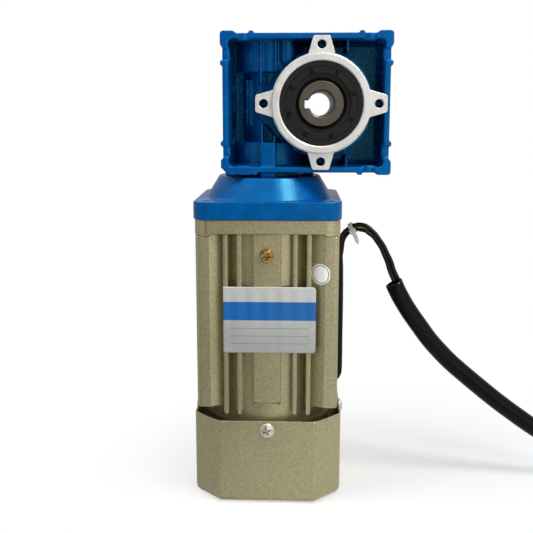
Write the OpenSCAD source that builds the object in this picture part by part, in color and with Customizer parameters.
// Right-angle worm gear motor: a finned induction motor standing on its fan cover,
// a square-to-round adapter, and a worm gear unit with a hollow output shaft.
// Millimetres, +Z up. The motor and worm axis is X = 0, Y = 0, and Z = 0 is the
// underside of the fan cover. The output axis runs along Y.

/* [Gear pair] */
// Distance between the worm axis and the output axis
centre_distance = 30; // [29.5:0.5:31]
// Axial module of the worm and transverse module of the wheel
gear_module = 1.45; // [1.4:0.05:1.5]
// Teeth on the worm wheel, for a worm with one start
wheel_teeth = 30; // [29:1:30]
// Width of the bronze rim across its teeth
wheel_width = 14; // [11:1:16]
// Length of the threaded part of the worm
worm_length = 30; // [24:1:34]

/* [Gear housing] */
// Height of the housing along the motor axis
housing_height = 80; // [80:1:86]
// Housing beyond the output axis, on the side away from the worm
housing_right = 40; // [40:1:46]
// Housing beyond the worm axis, on the side away from the output
housing_left = 27; // [27:1:32]
// Depth of the housing frame along the output axis
housing_depth = 56; // [55:1:60]
// Thickness of the outer frame walls
frame_wall = 4.4; // [3.5:0.1:5]
// Thickness of the web in the middle plane
web_thickness = 4; // [3:0.5:6]
// Wall of the cast tunnels and bearing bosses
boss_wall = 3.5; // [3:0.1:4]
// How far the mounting pads stand proud of the frame
pad_height = 1.2; // [0.6:0.1:1.6]
// Size of the square corner pads
pad_size = 8.7; // [7:0.1:9]
// Distance of each foot hole from the housing corner
foot_inset = 13; // [13:0.5:15]
// Distance between the foot holes across the depth
foot_spacing = 44; // [42:1:45]
// Diameter of the foot holes
foot_hole_d = 6.5; // [5:0.1:6.6]

/* [Output] */
// Overall length of the hollow shaft and across both spigots
output_length = 63; // [62.5:0.5:66]
// Bore of the hollow shaft
output_bore_d = 14; // [11:1:15]
// Outer diameter of the hollow shaft in its seals and bearings
output_shaft_d = 25; // [24:0.5:25.5]
// Width of the keyway in the hollow shaft
keyway_width = 5; // [4:0.5:5]
// Distance from the keyway floor to the far side of the bore
keyway_reach = 16.3; // [16:0.1:16.5]
// Diameter of the centring spigot on each cover
spigot_d = 55; // [53:1:56]
// Height of the spigot above the ears
spigot_height = 2; // [1.5:0.5:3]
// Pitch circle of the four flange holes
flange_pcd = 65; // [64:1:66]
// Tapping diameter of the flange holes
flange_hole_d = 5; // [4.2:0.1:5.2]
// Depth of the flange holes, from the face of the ears to the end of the tap relief
flange_hole_depth = 11; // [9:1:12]
// Thickness of the ears
ear_thickness = 6; // [5:0.5:7]
// Width of each ear at its tip
ear_tip_width = 10.3; // [9.5:0.1:12]

/* [Rolling bearings] */
// Outside diameter of the output bearings and seals
output_bearing_od = 47; // [45:1:48]
// Width of the output bearings
output_bearing_w = 12; // [10:1:12]
// Width of the output seals
output_seal_w = 7; // [5:1:7]
// Outside diameter of the lower worm bearing
lower_bearing_od = 37; // [35:1:38]
// Bore of the lower worm bearing
lower_bearing_id = 20; // [19:1:20]
// Width of the lower worm bearing
lower_bearing_w = 9; // [8:1:10]
// Outside diameter of the upper worm bearing and of the closing cap
upper_bearing_od = 32; // [30:1:33]
// Bore of the upper worm bearing and of the rear motor bearing
upper_bearing_id = 12; // [11:1:13]
// Width of the upper worm bearing
upper_bearing_w = 10; // [8:1:11]
// Outside diameter of the front motor bearing
motor_bearing_od = 35; // [33:1:36]
// Bore of the front motor bearing
motor_bearing_id = 15; // [14:1:15]
// Width of the front motor bearing
motor_bearing_w = 11; // [9:1:11]

/* [Adapter] */
// Half width of the square flange
flange_half = 42.4; // [42:0.1:44]
// Thickness of the square flange
flange_thickness = 10.1; // [9:0.1:12]
// Height of the cone above the flange
cone_height = 12.5; // [10:0.5:16]
// Radius of the cone at the flange
cone_base_r = 37.8; // [35:0.1:38.5]
// Radius of the machined top of the cone
cone_top_r = 30.2; // [29:0.1:32]
// Gap between the cone and the housing frame
housing_gap = 1.9; // [1:0.1:3]

/* [Motor] */
// How far the front bracket stands out beyond the body
bracket_proud = 0.7; // [0.3:0.1:1]
// Thickness of the front bracket
bracket_thickness = 8.1; // [7:0.1:10]
// How far the round barrel lies behind the flat pads
barrel_inset = 1; // [0.8:0.1:1.5]
// Wall of the barrel
barrel_wall = 2.5; // [2:0.1:3]
// Half width across the pads, fins and corner posts
body_half = 41; // [40.6:0.1:41.3]
// Length of the barrel below the front bracket
body_length = 112.9; // [105:1:130]
// Length of the stator and rotor stacks
stack_length = 66; // [50:1:70]
// Radius of the rotor
rotor_r = 22.1; // [20:0.1:23]
// Radius of the motor shaft where it drives the worm
drive_shaft_r = 5.5; // [5:0.5:6]

/* [Fan cover] */
// How far the flats of the fan cover stand out beyond the body
cover_proud = 2.9; // [2.5:0.1:4]
// Height of the fan cover
cover_height = 51; // [48:1:60]
// Half length of each wide side of the octagon
cover_flat = 28.5; // [26:0.5:30]
// Thickness of the sheet
cover_sheet = 1; // [0.8:0.1:1.4]
// Number of fan blades
fan_blades = 8; // [6:1:10]

/* [Lead] */
// Diameter of the bundle of leads
bundle_d = 5.4; // [5:0.1:6]
// Diameter of the outer sleeve
sleeve_d = 11; // [9:0.5:11]

/* [Hidden] */
$fn = 64;

// Clearance of located fits, and running clearance of turning parts
fit_gap = 0.03;
run_gap = 0.06;
// Small space left between neighbours that do not touch
free_gap = 0.3;
// Space round each ear where it lies in the frame
ear_gap = 0.2;

// Levels up the motor axis, each from the one below
barrel_sink = 2.5;
z_barrel = cover_height - barrel_sink;
z_bracket = z_barrel + body_length;
z_flange = z_bracket + bracket_thickness;
z_cone = z_flange + flange_thickness;
z_cone_top = z_cone + cone_height;
z_housing = z_cone_top + housing_gap;
z_output = z_housing + housing_height / 2;
z_top = z_housing + housing_height;

// Housing edges
x_left = -housing_left;
x_right = centre_distance + housing_right;
y_frame = housing_depth / 2;
y_spigot = output_length / 2;
y_ear = y_spigot - spigot_height;
y_ear_back = y_ear - ear_thickness;
x_feet = [x_left + foot_inset, x_right - foot_inset];
z_feet = [z_housing + foot_inset, z_top - foot_inset];
notch_half = 3.2;

// Worm and wheel
wheel_pitch_r = gear_module * wheel_teeth / 2;
worm_pitch_r = centre_distance - wheel_pitch_r;
worm_tip_r = worm_pitch_r + gear_module;
worm_root_r = worm_pitch_r - 1.2 * gear_module;
wheel_tip_r = wheel_pitch_r + gear_module;
wheel_outer_r = wheel_pitch_r + 1.4 * gear_module;
wheel_root_r = wheel_pitch_r - 1.2 * gear_module;
throat_r = centre_distance - wheel_tip_r;
thread_lead = PI * gear_module;
lead_angle = atan(gear_module / (2 * worm_pitch_r));
backlash = 0.24;
pressure_slope = tan(20);
tunnel_bore_r = worm_tip_r + 1.8;
tunnel_r = tunnel_bore_r + boss_wall;

// Seats of the output side
seat_r = output_bearing_od / 2;
register_wall = 2;
register_r = seat_r + register_wall;
cover_lip = 1.3;
lip_r = seat_r - 2;
chamber_r = wheel_outer_r + 0.8;
hub_casting_r = max(register_r, chamber_r) + 2.7;
step_r = hub_casting_r + 2.4;
y_step = 16.5;
y_seal_in = y_spigot - output_seal_w;
y_bearing_out = y_seal_in - free_gap;
y_bearing_in = y_bearing_out - output_bearing_w;
y_register_in = y_bearing_in - cover_lip;
shaft_r = output_shaft_d / 2;
shoulder_r = shaft_r + 2;
hub_r = wheel_root_r - 2.6;

// Seats up the worm axis
lower_seat_r = lower_bearing_od / 2;
upper_seat_r = upper_bearing_od / 2;
journal_r = lower_bearing_id / 2;
input_boss_r = lower_seat_r + boss_wall;
top_boss_r = upper_seat_r + boss_wall;
input_seal_w = 5;
adapter_spigot = 2;
z_worm_start = z_cone_top + adapter_spigot + free_gap;
z_lower_bearing = z_cone_top + adapter_spigot + input_seal_w + 2 * free_gap;
z_lower_end = z_lower_bearing + lower_bearing_w;
z_input_boss = z_lower_end + 3.5;
cap_w = 5;
circlip_w = 1.2;
cap_recess = 0.5;
z_cap = z_top - cap_recess - cap_w;
z_circlip = z_cap - free_gap - circlip_w;
z_upper_end = z_circlip - 0.1;
z_upper_bearing = z_upper_end - upper_bearing_w;
z_top_boss = z_upper_bearing - 5;

// Adapter screws sit between the lower bearing and the outer faces
adapter_screw_r = 2.5;
adapter_screw_pcr = lower_seat_r + 4;
adapter_screw_tap = 2.1;
screw_boss_half = 4.25;
z_screw_head = z_flange + 8;

// Motor
bracket_half = body_half + bracket_proud;
barrel_r = body_half - barrel_inset;
post_in = body_half - 8.3;
neck_at = body_half - 15.8;
neck_reach = body_half - 5;
post_bottom = 7.6 + cover_height;
post_top_drop = 1.4;
pad_half = 7.8;
pad_bottom = 11 + cover_height;
fin_bottom = 3.1 + cover_height;
fin_width = 2.6;
fin_near = [neck_at - 4 * fin_width, neck_at - 3 * fin_width];
fin_far = [neck_at - fin_width, neck_at];
fin_root = body_half - 13;
bolt_at = body_half - 6;
bolt_r = 2.5;
bolt_head_r = 4.1;
bolt_head_h = 4.8;
barrel_bore_r = barrel_r - barrel_wall;
z_stack = z_barrel + (body_length - stack_length) / 2;
z_stack_top = z_stack + stack_length;
end_space = 10.95;
winding_overhang = (body_length - stack_length) / 2 - end_space;
winding_r = barrel_bore_r - 3.5;
air_gap = 0.3;
slots = 24;
shield_plate = 4.5;
shield_register = 4.7;
z_shield = z_barrel - shield_plate;
z_rear_bearing = z_barrel - 6.3;
z_rear_bearing_top = z_rear_bearing + upper_bearing_w;
z_front_bearing_top = z_flange - 1.8;
z_front_bearing = z_front_bearing_top - motor_bearing_w;
rotor_shaft_r = 9;
fan_shaft_r = 5;
z_shaft_bottom = 10;
z_shaft_top = z_lower_end + 4;
motor_spigot_r = 24.9;
motor_spigot_h = 2.5;

// Fan and cover screws
fan_r = 34;
z_fan = 12;
fan_height = 18;
pickup_h = 4.5;
lug_drop = 10.5;
lug_half = 6;
cover_half = body_half + cover_proud;
cover_inner = cover_half - cover_sheet;
z_cover_screw = z_barrel - 3;
cover_screw_r = 2;
cover_screw_head_r = 4.5;
cover_edge_r = 4;

// Label on the front pad and fins
label_x = [-25.3, 28];
label_z = [z_bracket - 69.4, z_bracket - 30.4];
label_t = 0.2;
z_ground_screw = z_bracket - 12.4;
sticker_r = 6;
z_sticker = z_bracket - 23.1;

// Route of the leads: up the side of the motor, through the tie and out
lead_y = 11.3;
z_lead = z_barrel + 11.5;
riser_x = body_half + 3.6;
riser_path = [[riser_x - 10.6, lead_y, z_lead], [riser_x - 4.4, lead_y, z_lead],
    [riser_x - 2.4, lead_y, z_lead + 0.9], [riser_x - 1, lead_y, z_lead + 2.8],
    [riser_x - 0.3, lead_y, z_lead + 5.6], [riser_x - 0.1, lead_y, z_lead + 15],
    [riser_x, lead_y, 90], [riser_x + 0.2, lead_y, 105], [riser_x + 0.2, lead_y, 120],
    [riser_x, lead_y, 135], [riser_x, lead_y, 145], [45, 11.1, 151],
    [46.35, 10.75, 154.775], [47, 10.6, 155.5]];
wires_path = [[47, 10.6, 155.5], [49.6, 10, 158.4], [53, 9.2, 160.6], [57, 8, 161.2],
    [61, 6.8, 159.4], [65, 5.2, 154.6], [68.6, 3.6, 148], [71.4, 2, 140.6],
    [73.6, 0.7, 133], [75.84, 0, 127.71], [76.8, 0, 125.7]];
sleeve_path = [[76.8, 0, 125.7], [80, 0, 119], [84, 0, 112], [88.6, 0, 105],
    [93.4, 0, 98.4], [98.2, 0, 91.8], [103.2, 0, 85.8], [112.6, 0, 76], [122.2, 0, 67.6],
    [132, 0, 59.4], [143.4, 0, 50.2], [154.4, 0, 42], [166, 0, 33.8], [178.4, 0.2, 26],
    [191.6, 1, 18.8], [206, 3, 12.6], [219.5, 4.8, 8.4], [232, 10, 6.2], [242.8, 18.2, 5.6],
    [251, 29, 5.6], [256.2, 41.5, 5.6], [258, 55, 5.6], [258, 62, 5.6], [258, 68, 5.6]];
connector_len = 26;
connector_w = 18;
connector_h = 10;

// ---------------------------------------------------------------- shared shapes

// Extrudes a profile drawn in X and Z from y_a back to y_b
module front_plate(y_a, y_b) {
    translate([0, y_b, 0]) rotate([90, 0, 0]) linear_extrude(y_b - y_a) children();
}

// A rectangle given by two corners, with round corners of radius r
module rounded_rect(a, b, r) {
    translate([a[0] + r, a[1]]) square([b[0] - a[0] - 2 * r, b[1] - a[1]]);
    translate([a[0], a[1] + r]) square([b[0] - a[0], b[1] - a[1] - 2 * r]);
    for (x = [a[0] + r, b[0] - r], y = [a[1] + r, b[1] - r])
        translate([x, y]) circle(r);
}

// Repeats the children on the four sides of the motor
module four_sides() {
    for (k = [0:3]) rotate([0, 0, 90 * k]) children();
}

// Moves the children to the output axis, with their +Z pointing to the front
module on_output_axis() {
    translate([centre_distance, 0, z_output]) rotate([90, 0, 0]) children();
}

// Repeats the children at the four flange holes of a cover
module four_ears() {
    for (k = [0:3]) rotate([0, 0, 90 * k]) children();
}

// Sweeps a round tube of radius r along points; no part of the route runs along across
function unit(v) = v / norm(v);
function tangent(p, i) = unit(p[min(i + 1, len(p) - 1)] - p[max(i - 1, 0)]);
function ring_points(p, i, r, n, across) =
    let (t = tangent(p, i), u = unit(cross(t, across)), v = cross(t, u))
    [for (k = [0:n - 1]) p[i] + r * (cos(360 * k / n) * u + sin(360 * k / n) * v)];
module swept_tube(p, r, n, across) {
    last = len(p) - 1;
    points = [for (i = [0:last]) each ring_points(p, i, r, n, across)];
    sides = [for (i = [0:last - 1], k = [0:n - 1]) let (a = i * n, b = a + n, j = (k + 1) % n)
        each [[a + k, b + k, b + j], [a + k, b + j, a + j]]];
    bottom = [[for (k = [0:n - 1]) k]];
    top = [[for (k = [n - 1:-1:0]) last * n + k]];
    polyhedron(points, concat(bottom, sides, top));
}

// Outer ring, inner ring and balls of a bearing that stands on Z = 0
module outer_ring(od, id, w) {
    pitch_r = (od + id) / 4;
    ball_r = (od - id) * 0.15;
    rotate_extrude() difference() {
        translate([pitch_r + ball_r * 0.6, 0]) square([od / 2 - pitch_r - ball_r * 0.6, w]);
        translate([pitch_r, w / 2]) circle(ball_r + run_gap);
    }
}
module inner_ring(od, id, w) {
    pitch_r = (od + id) / 4;
    ball_r = (od - id) * 0.15;
    rotate_extrude() difference() {
        translate([id / 2, 0]) square([pitch_r - ball_r * 0.6 - id / 2, w]);
        translate([pitch_r, w / 2]) circle(ball_r + run_gap);
    }
}
module ball_row(od, id, w) {
    pitch_r = (od + id) / 4;
    ball_r = (od - id) * 0.15;
    count = floor(0.8 * PI * pitch_r / ball_r);
    for (k = [0:count - 1])
        rotate([0, 0, 360 * k / count]) translate([pitch_r, 0, w / 2]) sphere(ball_r);
}

// Cap screw with a hexagon socket, head down, its shank pointing up from Z = 0
module cap_screw(r, length, head_r, head_h) {
    cylinder(r = r, h = length);
    difference() {
        translate([0, 0, -head_h]) cylinder(r = head_r, h = head_h);
        translate([0, 0, -head_h - 1]) cylinder(r = head_r * 0.52, h = head_h * 0.6 + 1, $fn = 6);
    }
}

// ---------------------------------------------------------------- gear housing

// Frame outline below the pads, with its lower left corner cut off
module frame_outline() {
    a = [x_left + pad_height, z_housing + pad_height];
    b = [x_right - pad_height, z_top - pad_height];
    cut = 3;
    difference() {
        rounded_rect(a, b, 1.2);
        polygon([a - [1, 1], [a[0] + cut, a[1] - 1], [a[0] + cut, a[1]], [a[0], a[1] + cut],
            [a[0] - 1, a[1] + cut]]);
    }
}

// Corner pads and the narrow lugs beside each foot hole; the pad under the worm is long
module pad_outline() {
    long_pad = foot_inset + 7.6;
    lug = [foot_inset + 3.2, foot_inset + 5.9];
    reach = frame_wall - 0.4;
    for (sx = [0, 1], sz = [0, 1])
        translate([sx == 0 ? x_left : x_right, sz == 0 ? z_housing : z_top])
            mirror([sx, 0]) mirror([0, sz]) {
                if (sx == 0 && sz == 0) polygon([[0, 4], [4, 0], [long_pad, 0],
                    [long_pad, reach], [reach, reach], [reach, pad_size], [0, pad_size]]);
                else {
                    rounded_rect([0, 0], [pad_size, pad_size], 1.5);
                    translate([lug[0], 0]) square([lug[1] - lug[0], reach]);
                }
                translate([0, lug[0]]) square([reach, lug[1] - lug[0]]);
            }
}

// One open pocket, narrower towards the web as a casting is
module frame_pocket() {
    steps = [[y_frame + 1, 0], [web_thickness / 2 + 2.5, 1], [web_thickness / 2, 2.8]];
    hull() for (s = steps)
        front_plate(-s[0], -s[0] + 0.01)
            rounded_rect([x_left + frame_wall + s[1], z_housing + frame_wall + s[1]],
                [x_right - frame_wall - s[1], z_top - frame_wall - s[1]], 2.5, $fn = 32);
}

// Notches in the rim between each corner pad and its lug, where the boss behind shows
module rim_notches() {
    depth = 2;
    wide = 2 * notch_half;
    deep = frame_wall + 2;
    for (x = x_feet, s = [-1, 1], z = [z_housing - 1, z_top + 1 - deep])
        if (x > 0 || z > z_housing)
            translate([x - notch_half, s * (y_frame - depth / 2) - depth / 2, z]) cube([wide, depth, deep]);
    for (z = z_feet, s = [-1, 1], x = [x_left - 1, x_right + 1 - deep])
        translate([x, s * (y_frame - depth / 2) - depth / 2, z - notch_half]) cube([deep, depth, wide]);
}

// Bosses round the foot holes, on the inside of the frame
module foot_bosses() {
    r = foot_hole_d / 2 + 2;
    h = frame_wall - 0.4;
    for (y = [-foot_spacing / 2, foot_spacing / 2]) {
        for (x = x_feet) {
            translate([x, y, z_housing + pad_height]) cylinder(r = r, h = h);
            translate([x, y, z_top - pad_height - h]) cylinder(r = r, h = h);
        }
        for (z = z_feet) {
            translate([x_left + pad_height, y, z]) rotate([0, 90, 0]) cylinder(r = r, h = h);
            translate([x_right - pad_height - h, y, z]) rotate([0, 90, 0]) cylinder(r = r, h = h);
        }
    }
}

// Foot holes on the top and on the left and right sides; the input side has none
module foot_holes() {
    r = foot_hole_d / 2;
    h = frame_wall + 6;
    for (y = [-foot_spacing / 2, foot_spacing / 2]) {
        for (x = x_feet) translate([x, y, z_top + 1 - h]) cylinder(r = r, h = h);
        for (z = z_feet) {
            translate([x_left - 1, y, z]) rotate([0, 90, 0]) cylinder(r = r, h = h);
            translate([x_right + 1 - h, y, z]) rotate([0, 90, 0]) cylinder(r = r, h = h);
        }
    }
}

// A thin upright rib from z_a to z_b that reaches y_rib to the front and back
module upright_rib(x, y_rib, z_a, z_b, t) {
    translate([x - t / 2, -y_rib, z_a]) cube([t, 2 * y_rib, z_b - z_a]);
}

module housing_ribs() {
    wall_top = z_top - frame_wall;
    wall_bottom = z_housing + frame_wall;
    near = screw_boss_half;
    t = 1.3;
    upright_rib(-near, top_boss_r + 2.5, z_output + 11, wall_top, t);
    upright_rib(near, top_boss_r + 2.5, z_top_boss, wall_top, t);
    upright_rib(-near + t / 2, input_boss_r + 2.5, z_output - 11, wall_bottom, t);
    upright_rib(near - t / 2, input_boss_r + 2.5, z_output - 18, wall_bottom, t);
    upright_rib(-tunnel_r + 2.3, tunnel_r - 1.5, z_output - 12.6, z_output + 13.7, t);
    upright_rib(-tunnel_r + 4.4, tunnel_r - 3, z_output - 12.6, z_output + 13.7, t);
    for (z = [[wall_top - 6.5, wall_top + 1], [wall_bottom - 1, wall_bottom + 6]])
        upright_rib(centre_distance + 14.8, y_frame - 6, z[0], z[1], t);
}

// Bosses behind the ears, and the broad step of the casting round the wheel chamber
module ear_bosses() {
    r = flange_hole_d / 2 + 2.6;
    root = r + 6;
    on_output_axis() {
        four_ears() {
            translate([flange_pcd / 2, 0, -y_ear_back]) cylinder(r = r, h = 2 * y_ear_back);
            translate([hub_casting_r - 3, -r, -y_ear_back])
                cube([flange_pcd / 2 - hub_casting_r + 3, 2 * r, 2 * y_ear_back]);
            translate([0, 0, -y_step]) linear_extrude(2 * y_step) polygon([[24, -root],
                [flange_pcd / 2 + 1, -r], [flange_pcd / 2 + 1, r], [24, root]]);
        }
        translate([0, 0, -y_step]) cylinder(r = step_r, h = 2 * y_step);
        translate([0, 0, -y_step]) linear_extrude(2 * y_step)
            polygon([[-flange_pcd / 2 - 3.4, 0], [-flange_pcd / 2 - 3.4, -7.6],
                [-20, -24], [0, 0]]);
    }
}

module gear_housing() {
    drop_x = centre_distance - 19.5;
    drop_r = 4.4;
    color("royalblue") difference() {
        union() {
            difference() {
                union() {
                    front_plate(-y_frame, y_frame) frame_outline();
                    for (s = [-1, 1])
                        front_plate(s > 0 ? y_frame - 12 : -y_frame, s > 0 ? y_frame : 12 - y_frame)
                            pad_outline();
                }
                frame_pocket();
                mirror([0, 1, 0]) frame_pocket();
                rim_notches();
            }
            translate([0, 0, z_input_boss - 1]) cylinder(r = tunnel_r, h = z_top_boss + 2 - z_input_boss);
            translate([0, 0, z_cone_top]) cylinder(r = input_boss_r, h = z_input_boss - z_cone_top);
            translate([0, 0, z_top_boss]) cylinder(r = top_boss_r, h = z_top - pad_height - z_top_boss);
            on_output_axis() translate([0, 0, -y_ear_back]) cylinder(r = hub_casting_r, h = 2 * y_ear_back);
            ear_bosses();
            housing_ribs();
            foot_bosses();
            for (s = [-1, 1]) {
                translate([-screw_boss_half, s > 0 ? input_boss_r - 4 : -adapter_screw_pcr - screw_boss_half,
                    z_cone_top]) cube([2 * screw_boss_half, adapter_screw_pcr + screw_boss_half
                    - input_boss_r + 4, z_input_boss - z_cone_top]);
                translate([drop_x, s * 16.5, z_output + 21 + drop_r])
                    cylinder(r = drop_r, h = z_top - frame_wall - z_output - 20 - drop_r);
                translate([drop_x, s * 16.5, z_output + 21 + drop_r]) sphere(drop_r);
            }
            for (x = [-adapter_screw_pcr, adapter_screw_pcr])
                translate([x, 0, z_cone_top]) cylinder(r = screw_boss_half, h = z_input_boss - z_cone_top);
        }
        housing_bores();
        foot_holes();
    }
}

module housing_bores() {
    translate([0, 0, z_lower_end - 1]) cylinder(r = tunnel_bore_r, h = z_upper_bearing - z_lower_end + 2);
    translate([0, 0, z_cone_top - 1]) cylinder(r = lower_seat_r, h = z_lower_end - z_cone_top + 1);
    translate([0, 0, z_upper_bearing]) cylinder(r = upper_seat_r, h = z_top - z_upper_bearing + 1);
    translate([0, 0, z_circlip]) cylinder(r = upper_seat_r + 0.8, h = circlip_w + 0.1);
    on_output_axis() {
        translate([0, 0, -y_spigot]) cylinder(r = chamber_r, h = 2 * y_spigot);
        for (s = [0, 1]) mirror([0, 0, s])
            translate([0, 0, y_register_in - free_gap]) cylinder(r = register_r + fit_gap, h = 30);
        for (s = [0, 1]) mirror([0, 0, s]) translate([0, 0, y_ear_back]) linear_extrude(30) {
            circle(spigot_d / 2 + 1);
            four_ears() ear_outline(ear_gap);
        }
        for (s = [0, 1]) mirror([0, 0, s]) four_ears()
            translate([flange_pcd / 2, 0, y_ear - flange_hole_depth])
                cylinder(d = flange_hole_d - 0.8, h = flange_hole_depth + 1);
    }
    four_sides() translate([adapter_screw_pcr, 0, z_cone_top - 1])
        cylinder(r = adapter_screw_tap, h = 12);
}

// ---------------------------------------------------------------- output side

// Profile of one ear, pointing along +X of the cover, grown by the gap round it
module ear_outline(gap) {
    tip = flange_pcd / 2 + 4.7 + gap;
    root = spigot_d / 2 - 2;
    corner = 1.6;
    half = ear_tip_width / 2 + gap;
    root_half = half + 2.9;
    polygon([[root, -root_half], [tip - corner, -half], [tip, -half + corner],
        [tip, half - corner], [tip - corner, half], [root, root_half]]);
    for (s = [-1, 1]) translate([tip - corner, s * (half - corner)]) circle(corner);
}

// Cover with spigot, four ears and the register that locates it in the housing
module output_cover() {
    difference() {
        union() {
            translate([0, 0, y_ear_back]) linear_extrude(ear_thickness) {
                circle(spigot_d / 2 + 0.7);
                four_ears() ear_outline(0);
            }
            translate([0, 0, y_ear]) cylinder(d = spigot_d, h = spigot_height);
            translate([0, 0, y_register_in]) cylinder(r = register_r, h = y_ear_back - y_register_in);
        }
        translate([0, 0, y_bearing_in]) cylinder(r = seat_r, h = y_spigot);
        translate([0, 0, y_spigot - 0.6]) cylinder(r1 = seat_r, r2 = seat_r + 0.7, h = 0.7);
        translate([0, 0, y_register_in - 1]) cylinder(r = lip_r, h = cover_lip + 2);
        translate([0, 0, y_ear_back - 2.6]) rotate_extrude()
            translate([register_r - 0.8, 0]) square([2, 1.6]);
        four_ears() translate([flange_pcd / 2, 0, y_ear_back - 1])
            cylinder(d = flange_hole_d, h = ear_thickness + 2);
    }
}

module output_cover_front() {
    color("silver") on_output_axis() output_cover();
}

module output_cover_rear() {
    color("silver") on_output_axis() mirror([0, 0, 1]) output_cover();
}

module cover_o_rings() {
    color("black") on_output_axis() for (s = [0, 1]) mirror([0, 0, s])
        translate([0, 0, y_ear_back - 1.8]) rotate_extrude()
            translate([register_r - 0.39, 0]) circle(0.41);
}

// Shaft seal: outer band, stepped face and the lip that wipes the shaft
module output_seal() {
    face = y_spigot - 0.6;
    lip = shaft_r + run_gap;
    rotate_extrude() difference() {
        translate([lip, y_seal_in]) square([seat_r - lip, face - y_seal_in]);
        polygon([[lip - 1, face - 3.4], [lip + 0.4, face - 3], [lip + 1.9, face - 1],
            [lip + 4.2, face - 0.8], [lip + 4.4, face + 1], [lip - 1, face + 1]]);
        translate([seat_r - 3.4, face - 0.35]) square([0.5, 1]);
        translate([lip + 2, y_seal_in - 1]) square([seat_r - lip - 5, 4.4]);
        translate([lip - 1, y_seal_in - 1]) square([2, 3]);
    }
}

module output_seal_front() {
    color("#2b2b2b") on_output_axis() output_seal();
}

module output_seal_rear() {
    color("#2b2b2b") on_output_axis() mirror([0, 0, 1]) output_seal();
}

// Moves the children to the front or the rear output bearing
module at_output_bearing(side) {
    on_output_axis() mirror([0, 0, side]) translate([0, 0, y_bearing_in]) children();
}

module output_bearing_outer_front() {
    color("gainsboro") at_output_bearing(0) outer_ring(output_bearing_od, output_shaft_d, output_bearing_w);
}

module output_bearing_outer_rear() {
    color("gainsboro") at_output_bearing(1) outer_ring(output_bearing_od, output_shaft_d, output_bearing_w);
}

module output_bearing_inner_front() {
    color("gainsboro") at_output_bearing(0) inner_ring(output_bearing_od, output_shaft_d, output_bearing_w);
}

module output_bearing_inner_rear() {
    color("gainsboro") at_output_bearing(1) inner_ring(output_bearing_od, output_shaft_d, output_bearing_w);
}

module output_bearing_balls() {
    color("white") for (side = [0, 1])
        at_output_bearing(side) ball_row(output_bearing_od, output_shaft_d, output_bearing_w);
}

// Hollow shaft with a through keyway on the worm side
module output_shaft() {
    bore_r = output_bore_d / 2;
    chamfer = 0.8;
    color("slategray") on_output_axis() difference() {
        union() {
            translate([0, 0, -y_spigot]) cylinder(r = shaft_r, h = output_length);
            translate([0, 0, -y_bearing_in]) cylinder(r = shoulder_r, h = 2 * y_bearing_in);
        }
        translate([0, 0, -y_spigot - 1]) cylinder(r = bore_r, h = output_length + 2);
        translate([bore_r - keyway_reach, -keyway_width / 2, -y_spigot - 1])
            cube([bore_r, keyway_width, output_length + 2]);
        for (s = [0, 1]) mirror([0, 0, s]) translate([0, 0, y_spigot - chamfer])
            cylinder(r1 = bore_r, r2 = bore_r + chamfer, h = chamfer);
    }
}

// Cast hub of the wheel, with lightening rings on both faces
module wheel_hub() {
    hub_w = wheel_width + 3;
    color("dimgray") on_output_axis() rotate_extrude() difference() {
        translate([shoulder_r, -hub_w / 2]) square([hub_r - shoulder_r, hub_w]);
        for (s = [-1, 1]) translate([hub_r - 1, s * hub_w / 2]) square([3.2, 2.4], center = true);
    }
}

// One tooth of the wheel, pointing along +X, with flanks at the pressure angle
module wheel_tooth() {
    half = PI * gear_module / 4 - backlash / 2;
    top = half - (wheel_outer_r - wheel_pitch_r) * pressure_slope;
    bottom = half + (wheel_pitch_r - wheel_root_r + 0.6) * pressure_slope;
    rotate([-lead_angle, 0, 0]) translate([0, 0, -wheel_width / 2 - 1]) linear_extrude(wheel_width + 2)
        polygon([[wheel_root_r - 0.6, -bottom], [wheel_outer_r + 0.2, -top],
            [wheel_outer_r + 0.2, top], [wheel_root_r - 0.6, bottom]]);
}

// Bronze rim: skewed teeth, hollowed round their tips to clear the worm
module wheel_rim() {
    color("darkgoldenrod") on_output_axis() {
        intersection() {
            union() {
                for (k = [0:wheel_teeth - 1])
                    rotate([0, 0, 180 + 360 * (k + 0.5) / wheel_teeth]) wheel_tooth();
                rotate_extrude() translate([hub_r, -wheel_width / 2])
                    square([wheel_root_r - hub_r, wheel_width]);
            }
            rotate_extrude() difference() {
                translate([hub_r, -wheel_width / 2])
                    square([wheel_outer_r - hub_r, wheel_width]);
                translate([centre_distance, 0]) circle(throat_r);
            }
        }
    }
}

// ---------------------------------------------------------------- worm

// Right-hand thread: a trapezoid that climbs by one lead each turn
module worm_thread() {
    per_turn = 24;
    turns = worm_length / thread_lead;
    count = ceil(turns * per_turn);
    start = -count / per_turn / 2;
    half = PI * gear_module / 4 - backlash / 2;
    tip_half = half - gear_module * pressure_slope;
    depth = worm_pitch_r - worm_root_r + 0.4;
    root_half = half + depth * pressure_slope;
    section = [[worm_root_r - 0.4, -root_half], [worm_tip_r, -tip_half],
        [worm_tip_r, tip_half], [worm_root_r - 0.4, root_half]];
    points = [for (i = [0:count]) let (turn = start + i / per_turn)
        each [for (s = section) [s[0] * cos(360 * turn), s[0] * sin(360 * turn),
            s[1] + turn * thread_lead]]];
    sides = [for (i = [0:count - 1], k = [0:3]) let (a = 4 * i, b = a + 4, j = (k + 1) % 4)
        each [[a + k, b + j, b + k], [a + k, a + j, b + j]]];
    polyhedron(points, concat([[3, 2, 1, 0]], sides,
        [[4 * count, 4 * count + 1, 4 * count + 2, 4 * count + 3]]));
}

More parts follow.
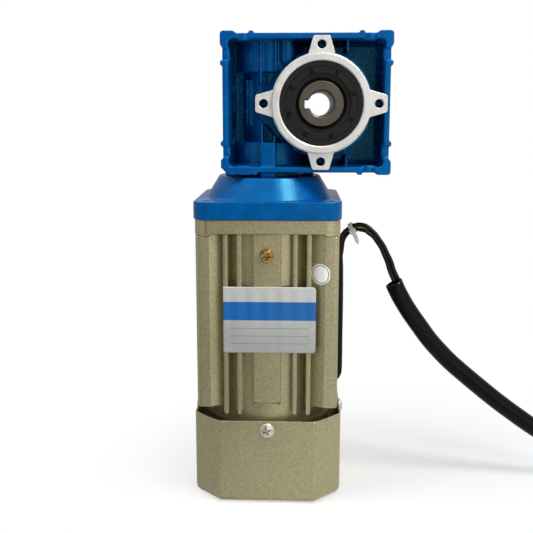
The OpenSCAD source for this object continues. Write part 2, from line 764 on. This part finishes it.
module worm() {
    core_end = worm_length / 2 + 2.5;
    bore_end = z_shaft_top + 0.5;
    shoulder = journal_r + 2;
    color("lightsteelblue") difference() {
        union() {
            translate([0, 0, z_output]) worm_thread();
            translate([0, 0, z_output - core_end]) cylinder(r = worm_root_r, h = 2 * core_end);
            translate([0, 0, z_worm_start]) cylinder(r = journal_r, h = z_output - core_end - z_worm_start);
            translate([0, 0, z_lower_end]) cylinder(r = shoulder - 1, h = 2.5);
            translate([0, 0, z_output + core_end]) cylinder(r = upper_bearing_id / 2 + 2,
                h = z_upper_bearing - z_output - core_end);
            translate([0, 0, z_upper_bearing]) cylinder(d = upper_bearing_id, h = upper_bearing_w);
        }
        translate([0, 0, z_worm_start - 1])
            cylinder(r = drive_shaft_r + fit_gap, h = bore_end - z_worm_start + 1);
        translate([drive_shaft_r - 1, -2, z_worm_start - 1]) cube([3, 4, bore_end - z_worm_start]);
    }
}

module drive_key() {
    color("silver") translate([drive_shaft_r - 2.4, -1.96, z_worm_start + 1.5])
        cube([4, 3.92, z_shaft_top - z_worm_start - 4]);
}

module worm_bearing_outer_lower() {
    color("gainsboro") translate([0, 0, z_lower_bearing])
        outer_ring(lower_bearing_od, lower_bearing_id, lower_bearing_w);
}

module worm_bearing_inner_lower() {
    color("gainsboro") translate([0, 0, z_lower_bearing])
        inner_ring(lower_bearing_od, lower_bearing_id, lower_bearing_w);
}

module worm_bearing_outer_upper() {
    color("gainsboro") translate([0, 0, z_upper_bearing])
        outer_ring(upper_bearing_od, upper_bearing_id, upper_bearing_w);
}

module worm_bearing_inner_upper() {
    color("gainsboro") translate([0, 0, z_upper_bearing])
        inner_ring(upper_bearing_od, upper_bearing_id, upper_bearing_w);
}

module worm_bearing_balls() {
    color("white") {
        translate([0, 0, z_lower_bearing]) ball_row(lower_bearing_od, lower_bearing_id, lower_bearing_w);
        translate([0, 0, z_upper_bearing]) ball_row(upper_bearing_od, upper_bearing_id, upper_bearing_w);
    }
}

module worm_input_seal() {
    lip = journal_r + run_gap;
    color("#2b2b2b") translate([0, 0, z_cone_top + adapter_spigot + free_gap]) rotate_extrude()
        difference() {
            translate([lip, 0]) square([lower_seat_r - lip, input_seal_w]);
            translate([lip + 1.4, 1.4]) square([lower_seat_r - lip - 3, input_seal_w]);
            translate([lip - 1, 2.6]) square([1.6, input_seal_w]);
        }
}

// Open ring that sits in its groove above the upper bearing
module worm_circlip() {
    color("dimgray") translate([0, 0, z_circlip + 0.05]) difference() {
        cylinder(r = upper_seat_r + 0.7, h = circlip_w - 0.05);
        translate([0, 0, -1]) cylinder(r = upper_seat_r - 2, h = 4);
        translate([-2, 0, -1]) cube([4, 30, 4]);
    }
}

// Rubber-covered cap that closes the bore above the worm
module worm_end_cap() {
    color("#2b2b2b") translate([0, 0, z_cap]) difference() {
        cylinder(r = upper_seat_r, h = cap_w);
        translate([0, 0, cap_w - 1]) cylinder(r = upper_seat_r - 2.5, h = 2);
        translate([0, 0, -1]) cylinder(r = upper_seat_r - 1.5, h = cap_w - 1.5);
    }
}

// ---------------------------------------------------------------- adapter

module adapter_flange() {
    corner = 8;
    color("royalblue") difference() {
        union() {
            translate([0, 0, z_flange]) linear_extrude(flange_thickness)
                rounded_rect([-flange_half, -flange_half], [flange_half, flange_half], corner);
            translate([0, 0, z_cone]) cylinder(r1 = cone_base_r, r2 = cone_top_r, h = cone_height);
            translate([0, 0, z_cone_top]) cylinder(r = lower_seat_r - fit_gap, h = adapter_spigot);
        }
        translate([0, 0, z_flange - 1]) cylinder(r = motor_spigot_r + fit_gap, h = motor_spigot_h + 1.2);
        translate([0, 0, z_flange]) cylinder(r = 13, h = z_housing - z_flange + 5);
        translate([0, 0, z_flange + motor_spigot_h]) cylinder(r = 17, h = 10);
        four_sides() {
            translate([adapter_screw_pcr, 0, z_flange - 1]) {
                cylinder(r = adapter_screw_r + 0.3, h = 40);
                cylinder(r = 4.6, h = z_screw_head - z_flange + 1);
            }
            translate([bolt_at, bolt_at, z_flange - 1])
                cylinder(r = bolt_r + fit_gap, h = flange_thickness + 2);
        }
    }
}

module adapter_screws() {
    color("#303030") four_sides() translate([adapter_screw_pcr, 0, z_screw_head])
        cap_screw(adapter_screw_tap - fit_gap, z_cone_top + 9 - z_screw_head, 4.25, 5);
}

// ---------------------------------------------------------------- motor

module motor_front_bracket() {
    corner = 8;
    color("#8f8a72") difference() {
        union() {
            translate([0, 0, z_bracket]) linear_extrude(bracket_thickness)
                rounded_rect([-bracket_half, -bracket_half], [bracket_half, bracket_half], corner);
            translate([0, 0, z_bracket - 5.4]) cylinder(r = barrel_bore_r - fit_gap, h = 5.5);
            translate([0, 0, z_flange]) cylinder(r = motor_spigot_r, h = motor_spigot_h);
            four_sides() translate([0, 0, z_bracket - post_top_drop]) linear_extrude(post_top_drop + 1)
                intersection() {
                    translate([post_in, post_in]) square(20);
                    rounded_rect([-bracket_half, -bracket_half], [bracket_half, bracket_half], corner);
                }
        }
        translate([0, 0, z_bracket - 6])
            cylinder(r = motor_bearing_od / 2, h = z_front_bearing_top + 6 - z_bracket);
        translate([0, 0, z_bracket - 7]) difference() {
            cylinder(r = barrel_bore_r - 4, h = 6);
            cylinder(r = motor_bearing_od / 2 + 3, h = 6);
        }
        translate([0, 0, z_bracket]) cylinder(r = 10, h = 30);
        four_sides() translate([bolt_at, bolt_at, z_bracket - 5])
            cylinder(r = bolt_r + 0.2, h = bracket_thickness + 10);
    }
}

// Corner post for the +X +Y corner, tied to the barrel by a neck with sloping faces
module post_outline() {
    r = 2.5;
    edge = body_half;
    polygon([[post_in, edge], [edge - r, edge], [edge, edge - r], [edge, post_in],
        [neck_reach, neck_at], [neck_at, neck_at], [neck_at, neck_reach]]);
    translate([edge - r, edge - r]) circle(r);
}

// One upright fin on the front side, its lower end rounded
module side_fin(span) {
    r = (span[1] - span[0]) / 2;
    front_plate(-body_half, -fin_root) {
        translate([span[0], fin_bottom + r]) square([2 * r, z_bracket - fin_bottom - r]);
        translate([span[0] + r, fin_bottom + r]) circle(r);
    }
}

// Flat pad down the middle of the front side, with a sloped lower end
module side_pad() {
    translate([-pad_half, 0, 0]) rotate([90, 0, 90]) linear_extrude(2 * pad_half)
        polygon([[-body_half + 3, pad_bottom - 4], [-body_half, pad_bottom],
            [-body_half, z_bracket], [-body_half + 3, z_bracket]]);
}

module stator_housing() {
    color("#8f8a72") difference() {
        union() {
            translate([0, 0, z_barrel]) cylinder(r = barrel_r, h = body_length, $fn = 96);
            four_sides() {
                translate([0, 0, post_bottom]) linear_extrude(z_bracket - post_top_drop - post_bottom)
                    post_outline();
                translate([0, 0, post_bottom]) linear_extrude(z_bracket - post_bottom) difference() {
                    post_outline();
                    translate([post_in, post_in]) square(20);
                }
                side_pad();
                for (span = [fin_near, fin_far]) {
                    side_fin(span);
                    mirror([1, 0, 0]) side_fin(span);
                }
            }
        }
        translate([0, 0, z_barrel - 1]) cylinder(r = barrel_bore_r, h = body_length + 2, $fn = 96);
        four_sides() translate([bolt_at, bolt_at, post_bottom - 1]) {
            cylinder(r = bolt_r + 0.2, h = body_length);
            cylinder(r = bolt_head_r + 0.2, h = bolt_head_h + 1);
        }
        translate([0, -body_half - 1, z_ground_screw]) rotate([-90, 0, 0]) cylinder(r = 1.7, h = 20);
        translate([barrel_r - 10, lead_y, z_lead]) rotate([0, 90, 0]) cylinder(r = 3.3, h = 20);
    }
    // Inner bosses that take the screws of the rear shield
    color("#8f8a72") for (k = [0:3]) rotate([0, 0, 45 + 90 * k])
        translate([0, 0, z_barrel + shield_register + 0.1]) difference() {
            intersection() {
                union() {
                    translate([barrel_bore_r - 4.5, 0, 0]) cylinder(r = 4, h = 4.4);
                    translate([barrel_bore_r - 4.5, -4, 0]) cube([6, 8, 4.4]);
                }
                cylinder(r = barrel_bore_r + 1, h = 10);
            }
            translate([barrel_bore_r - 4.5, 0, -1]) cylinder(r = 1.6, h = 10);
        }
}

module stator_core() {
    color("gray") translate([0, 0, z_stack]) difference() {
        cylinder(r = barrel_bore_r - fit_gap, h = stack_length);
        translate([0, 0, -1]) cylinder(r = rotor_r + air_gap, h = stack_length + 2);
        for (k = [0:slots - 1]) rotate([0, 0, 360 * k / slots]) {
            translate([rotor_r + 3, -1.6, -1]) cube([winding_r - rotor_r - 3.6, 3.2, stack_length + 2]);
            translate([rotor_r - 1, -0.8, -1]) cube([6, 1.6, stack_length + 2]);
        }
    }
}

// Coil sides in the slots, joined by the end turns above and below the core
module stator_windings() {
    inner = rotor_r + 3.4;
    color("peru") translate([0, 0, z_stack]) {
        for (k = [0:slots - 1]) rotate([0, 0, 360 * k / slots])
            translate([inner, -1.3, -1]) cube([winding_r - inner - 1, 2.6, stack_length + 2]);
        for (z = [-winding_overhang, stack_length + 0.3]) translate([0, 0, z]) rotate_extrude()
            rounded_rect([inner, 0], [winding_r - 0.3, winding_overhang - 0.3], 2.5);
    }
}

module motor_bearing_outer_front() {
    color("gainsboro") translate([0, 0, z_front_bearing])
        outer_ring(motor_bearing_od, motor_bearing_id, motor_bearing_w);
}

module motor_bearing_inner_front() {
    color("gainsboro") translate([0, 0, z_front_bearing])
        inner_ring(motor_bearing_od, motor_bearing_id, motor_bearing_w);
}

module motor_bearing_outer_rear() {
    color("gainsboro") translate([0, 0, z_rear_bearing])
        outer_ring(upper_bearing_od, upper_bearing_id, upper_bearing_w);
}

module motor_bearing_inner_rear() {
    color("gainsboro") translate([0, 0, z_rear_bearing])
        inner_ring(upper_bearing_od, upper_bearing_id, upper_bearing_w);
}

module motor_bearing_balls() {
    color("white") {
        translate([0, 0, z_front_bearing]) ball_row(motor_bearing_od, motor_bearing_id, motor_bearing_w);
        translate([0, 0, z_rear_bearing]) ball_row(upper_bearing_od, upper_bearing_id, upper_bearing_w);
    }
}

// Stepped shaft from the fan up into the worm
module motor_shaft() {
    steps = [[z_shaft_bottom, fan_shaft_r], [z_rear_bearing - 1.8, upper_bearing_id / 2],
        [z_rear_bearing_top, rotor_shaft_r], [z_front_bearing, motor_bearing_id / 2],
        [z_flange + 1.5, drive_shaft_r], [z_shaft_top, 0]];
    color("silver") difference() {
        for (i = [0:len(steps) - 2]) translate([0, 0, steps[i][0]])
            cylinder(r = steps[i][1], h = steps[i + 1][0] - steps[i][0]);
        translate([drive_shaft_r - 2.45, -2, z_worm_start + 1.4]) cube([5, 4, 60]);
    }
}

module rotor_core() {
    color("gray") translate([0, 0, z_stack]) difference() {
        cylinder(r = rotor_r, h = stack_length);
        translate([0, 0, -1]) cylinder(r = rotor_shaft_r, h = stack_length + 2);
    }
}

// Cast end rings with small stirring blades
module rotor_cage() {
    ring_h = 6;
    color("lightgray") for (z = [z_stack - ring_h, z_stack_top]) translate([0, 0, z]) {
        difference() {
            cylinder(r = rotor_r - 1.5, h = ring_h);
            translate([0, 0, -1]) cylinder(r = rotor_r - 8, h = ring_h + 2);
        }
    }
    color("lightgray") for (k = [0:7]) rotate([0, 0, 45 * k]) {
        translate([rotor_r - 7, -0.75, z_stack - ring_h - 4]) cube([5, 1.5, 4.5]);
        translate([rotor_r - 7, -0.75, z_stack_top + ring_h - 0.5]) cube([5, 1.5, 4.5]);
    }
}

// ---------------------------------------------------------------- rear end

module rear_shield() {
    hub_r0 = upper_seat_r + 4;
    z_hub = z_rear_bearing - 2;
    color("#8f8a72") difference() {
        union() {
            translate([0, 0, z_shield]) cylinder(r1 = barrel_r - 2, r2 = barrel_r, h = shield_plate);
            translate([0, 0, z_barrel - 1]) cylinder(r = barrel_bore_r - fit_gap, h = shield_register + 1);
            translate([0, 0, z_hub]) cylinder(r = hub_r0, h = z_barrel + shield_register - z_hub);
            four_sides() translate([barrel_r - 4, -lug_half, z_barrel - lug_drop])
                cube([cover_inner - barrel_r + 4, 2 * lug_half, lug_drop - 0.4]);
        }
        difference() {
            translate([0, 0, z_barrel]) cylinder(r = barrel_bore_r - 3.5, h = shield_register + 1);
            translate([0, 0, z_barrel - 1]) cylinder(r = hub_r0, h = shield_register + 3);
            for (k = [0:3]) rotate([0, 0, 45 + 90 * k]) translate([barrel_bore_r - 4.5, 0, z_barrel - 1])
                cylinder(r = 4, h = shield_register + 3);
        }
        translate([0, 0, z_rear_bearing]) cylinder(r = upper_seat_r, h = 30);
        translate([0, 0, z_hub - 1]) cylinder(r = upper_seat_r - 3, h = 10);
        for (k = [0:3]) rotate([0, 0, 45 + 90 * k]) translate([barrel_bore_r - 4.5, 0, z_shield - 1])
            cylinder(r = 1.9, h = 20);
        four_sides() translate([barrel_r - 6, 0, z_cover_screw]) rotate([0, 90, 0])
            cylinder(r = cover_screw_r + fit_gap, h = 20);
    }
}

module rear_shield_screws() {
    color("silver") for (k = [0:3]) rotate([0, 0, 45 + 90 * k])
        translate([barrel_bore_r - 4.5, 0, z_shield]) {
            cylinder(r = 1.57, h = shield_plate + shield_register + 4);
            translate([0, 0, -2.4]) difference() {
                cylinder(r = 3.4, h = 2.4);
                translate([-0.5, -4, -1]) cube([1, 8, 1.9]);
            }
        }
}

// Ring coil under the rear shield that senses the turning magnet
module speed_pickup_coil() {
    color("peru") translate([0, 0, z_rear_bearing - 2 - pickup_h]) difference() {
        cylinder(r = upper_seat_r + 2, h = pickup_h);
        translate([0, 0, -1]) cylinder(r = upper_seat_r - 3.4, h = pickup_h + 2);
    }
}

module speed_pickup_magnet() {
    color("#3a3a3a") translate([0, 0, z_rear_bearing - 2 - pickup_h]) difference() {
        cylinder(r = upper_seat_r - 4.4, h = pickup_h);
        translate([0, 0, -1]) cylinder(r = fan_shaft_r + 0.02, h = pickup_h + 2);
    }
}

module cooling_fan() {
    color("#404040") translate([0, 0, z_fan]) difference() {
        union() {
            cylinder(r = fan_shaft_r + 4, h = fan_height);
            translate([0, 0, fan_height - 1.6]) cylinder(r = fan_r, h = 1.6);
            for (k = [0:fan_blades - 1]) rotate([0, 0, 360 * k / fan_blades])
                translate([fan_shaft_r + 2, -0.8, 0]) cube([fan_r - fan_shaft_r - 2.5, 1.6, fan_height - 1]);
        }
        translate([0, 0, -1]) cylinder(r = fan_shaft_r + 0.02, h = fan_height + 2);
    }
}

// Octagon with round corners, drawn inset from the full outline
module octagon(half, flat, r, inset) {
    b = half - inset - r;
    a = flat - (inset + r) * 0.414;
    offset(r = r, $fn = 24) polygon([[a, b], [b, a], [b, -a], [a, -b], [-a, -b], [-b, -a], [-b, a], [-a, b]]);
}

// Octagonal block whose floor edge is rounded by r_floor
module octagon_block(half, flat, r, h, r_floor) {
    hull() {
        for (a = [0:30:90]) translate([0, 0, r_floor * (1 - sin(a))]) linear_extrude(0.1)
            octagon(half, flat, r, r_floor * (1 - cos(a)));
        translate([0, 0, h - 0.1]) linear_extrude(0.1) octagon(half, flat, r, 0);
    }
}

module fan_cover() {
    slot_r = [14, 20, 26, 32];
    color("#8f8a72") difference() {
        octagon_block(cover_half, cover_flat, cover_edge_r, cover_height, cover_edge_r);
        translate([0, 0, cover_sheet]) octagon_block(cover_inner, cover_flat - cover_sheet * 0.414,
            cover_edge_r - cover_sheet, cover_height + 2, cover_edge_r - cover_sheet);
        for (k = [0:7], r = slot_r) rotate([0, 0, 45 * k + 22.5])
            translate([r, 0, -1]) cylinder(r = 2.4, h = 4);
        four_sides() translate([cover_inner - 1, 0, z_cover_screw]) rotate([0, 90, 0])
            cylinder(r = cover_screw_r + 0.2, h = 4);
    }
}

// Pan-head screws with a cross recess, one in the middle of each wide side
module fan_cover_screws() {
    color("silver") four_sides() translate([cover_half, 0, z_cover_screw]) rotate([0, 90, 0])
        difference() {
            union() {
                translate([0, 0, -6]) cylinder(r = cover_screw_r, h = 6.1);
                intersection() {
                    cylinder(r = cover_screw_head_r, h = 2.5);
                    translate([0, 0, -4.4]) sphere(r = 6.9);
                }
            }
            for (a = [0, 90]) rotate([0, 0, a + 20]) translate([-2.3, -0.5, 1.2]) cube([4.6, 1, 3]);
        }
}

module motor_through_bolts() {
    color("#303030") four_sides() translate([bolt_at, bolt_at, post_bottom + bolt_head_h])
        cap_screw(bolt_r, z_cone - 0.6 - post_bottom - bolt_head_h, bolt_head_r, bolt_head_h);
}

// Plated earth screw on the front pad, with a spring washer and a flat washer
module ground_screw() {
    color("goldenrod") translate([0, -body_half, z_ground_screw]) rotate([90, 0, 0]) difference() {
        union() {
            translate([0, 0, -5]) cylinder(r = 1.65, h = 6);
            cylinder(r = 4.2, h = 0.7);
            translate([0, 0, 0.7]) cylinder(r = 3.5, h = 1);
            translate([0, 0, 1.7]) cylinder(r1 = 3.7, r2 = 3.3, h = 2.3);
        }
        for (a = [0, 90]) rotate([0, 0, a]) translate([-2.1, -0.5, 2.4]) cube([4.2, 1, 3]);
    }
}

module rating_label() {
    color("whitesmoke") front_plate(-body_half - label_t, -body_half)
        rounded_rect([label_x[0], label_z[0]], [label_x[1], label_z[1]], 2);
}

// Round film that bends over the edge between a corner post and its neck
module inspection_sticker() {
    edge = [post_in, -body_half];
    along = unit([neck_at, -neck_reach] - edge);
    out = [-along[1], along[0]];
    mitre = unit(out - [0, 1]);
    left = edge + 8.8 * along;
    right = edge + [3.2, 0];
    middle = edge + 2.9 * along;
    color("white") intersection() {
        translate([0, 0, z_sticker - 8]) linear_extrude(16)
            polygon([left, left + label_t * out, edge - label_t / mitre[1] * mitre,
                right - [0, label_t], right, edge]);
        translate([middle[0], middle[1], z_sticker]) rotate([0, 90, atan2(out[1], out[0])])
            cylinder(r = sticker_r, h = 12, center = true);
    }
}

// ---------------------------------------------------------------- leads

// Grommet in the barrel wall where the leads come out
module lead_grommet() {
    out = sqrt(pow(barrel_r, 2) - pow(lead_y, 2));
    color("#202020") translate([out, lead_y, z_lead]) rotate([0, 90, 0]) difference() {
        union() {
            translate([0, 0, -5]) cylinder(r = 3.28, h = 6);
            translate([0, 0, 0.8]) cylinder(r = 3.4, h = 0.8);
        }
        translate([0, 0, -6]) cylinder(r = bundle_d / 2 + 0.05, h = 12);
    }
}

module lead_riser() {
    color("#1c1c1c") swept_tube(riser_path, bundle_d / 2, 10, [0, 1, 0]);
}

// Clear tie round the bundle, with its ratchet head and tail
module lead_tie() {
    at = wires_path[1];
    t = tangent(wires_path, 1);
    tilt = atan2(t[0], t[2]);
    color("whitesmoke") translate(at) rotate([0, tilt, 0]) {
        difference() {
            cylinder(r = bundle_d / 2 + 1.4, h = 2.6, center = true);
            cylinder(r = bundle_d / 2 + 0.4, h = 4, center = true);
        }
        translate([bundle_d / 2 + 0.9, -2.4, -1.6]) cube([3, 4.4, 3.4]);
    }
}

module lead_wires() {
    color("#1c1c1c") swept_tube(wires_path, bundle_d / 2, 10, [0, 1, 0]);
}

module lead_sleeve() {
    color("#101010") swept_tube(sleeve_path, sleeve_d / 2, 10, [0, 0.3, 1]);
}

// Six-way plug housing on the end of the sleeve
module lead_connector() {
    end = sleeve_path[len(sleeve_path) - 1];
    color("whitesmoke") translate([end[0] - connector_w / 2, end[1], 0]) difference() {
        cube([connector_w, connector_len, connector_h + 0.6]);
        for (k = [0:2], z = [1.2, 5.6])
            translate([1.4 + 5.6 * k, connector_len - 15, z]) cube([4, 16, 3]);
    }
}

// ---------------------------------------------------------------- nodes

gear_housing();
output_cover_front();
output_cover_rear();
cover_o_rings();
output_seal_front();
output_seal_rear();
output_bearing_outer_front();
output_bearing_outer_rear();
worm_input_seal();
worm_bearing_outer_lower();
worm_bearing_outer_upper();
worm_circlip();
worm_end_cap();
adapter_flange();
adapter_screws();
motor_front_bracket();
stator_housing();
stator_core();
stator_windings();
motor_bearing_outer_front();
motor_bearing_outer_rear();
rear_shield();
rear_shield_screws();
speed_pickup_coil();
fan_cover();
fan_cover_screws();
motor_through_bolts();
ground_screw();
rating_label();
inspection_sticker();
lead_grommet();
lead_riser();
lead_tie();
lead_wires();
lead_sleeve();
lead_connector();
motor_shaft();
rotor_core();
rotor_cage();
cooling_fan();
speed_pickup_magnet();
drive_key();
worm();
worm_bearing_inner_lower();
worm_bearing_inner_upper();
motor_bearing_inner_front();
motor_bearing_inner_rear();
worm_bearing_balls();
motor_bearing_balls();
output_shaft();
wheel_hub();
wheel_rim();
output_bearing_inner_front();
output_bearing_inner_rear();
output_bearing_balls();
